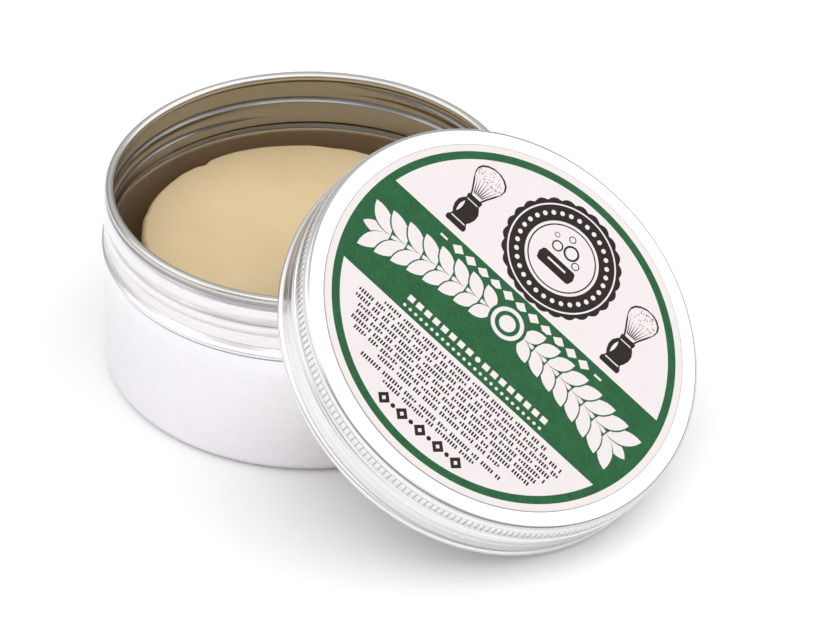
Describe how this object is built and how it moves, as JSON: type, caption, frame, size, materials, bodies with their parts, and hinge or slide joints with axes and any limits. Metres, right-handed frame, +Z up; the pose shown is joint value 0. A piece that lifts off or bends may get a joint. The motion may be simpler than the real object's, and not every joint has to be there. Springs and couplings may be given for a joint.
{
  "type": "shaving soap puck in a screw tin",
  "caption": "Round puck of shaving soap loose in a threaded aluminium tin, with its knurled, labelled screw lid leaning open against the rim.",
  "frame": {"origin": "centre of the tin's flat bottom, on the surface that the tin stands on", "axes": "+Z up along the tin's axis, +X towards the lid, which leans outwards over the rim in the XZ plane"},
  "size_m": [0.1306, 0.0852, 0.0605],
  "materials": {
    "tin": "satin, fine lines round the wall",
    "lid": "satin, paler than the tin",
    "liner": "closed-cell foam",
    "label": "coated, printed in green and dark brown",
    "soap": "waxy cream soap, softly worn edge"
  },
  "bodies": {
    "tin": {"tin_base": "tin"},
    "soap": {"soap_puck": "soap"},
    "liner": {"lid_liner": "liner"},
    "lid": {"lid_shell": "lid", "lid_label": "label"}
  },
  "joints": [
    {"name": "lid_swing", "type": "hinge", "parent": "tin", "child": "liner", "pos_m": [-0.00878, 0, -0.0354], "axis": [0, -1, 0], "range_deg": [0, 36.8]},
    {"name": "lid_turn", "type": "hinge", "parent": "liner", "child": "lid", "pos_m": [0.0554, 0, 0.03573], "axis": [0.599, 0, 0.8007], "continuous": true},
    {"name": "soap_turn", "type": "hinge", "parent": "tin", "child": "soap", "pos_m": [-0.0057, 0.002, 0.0009], "axis": [0, 0, 1], "continuous": true}
  ]
}
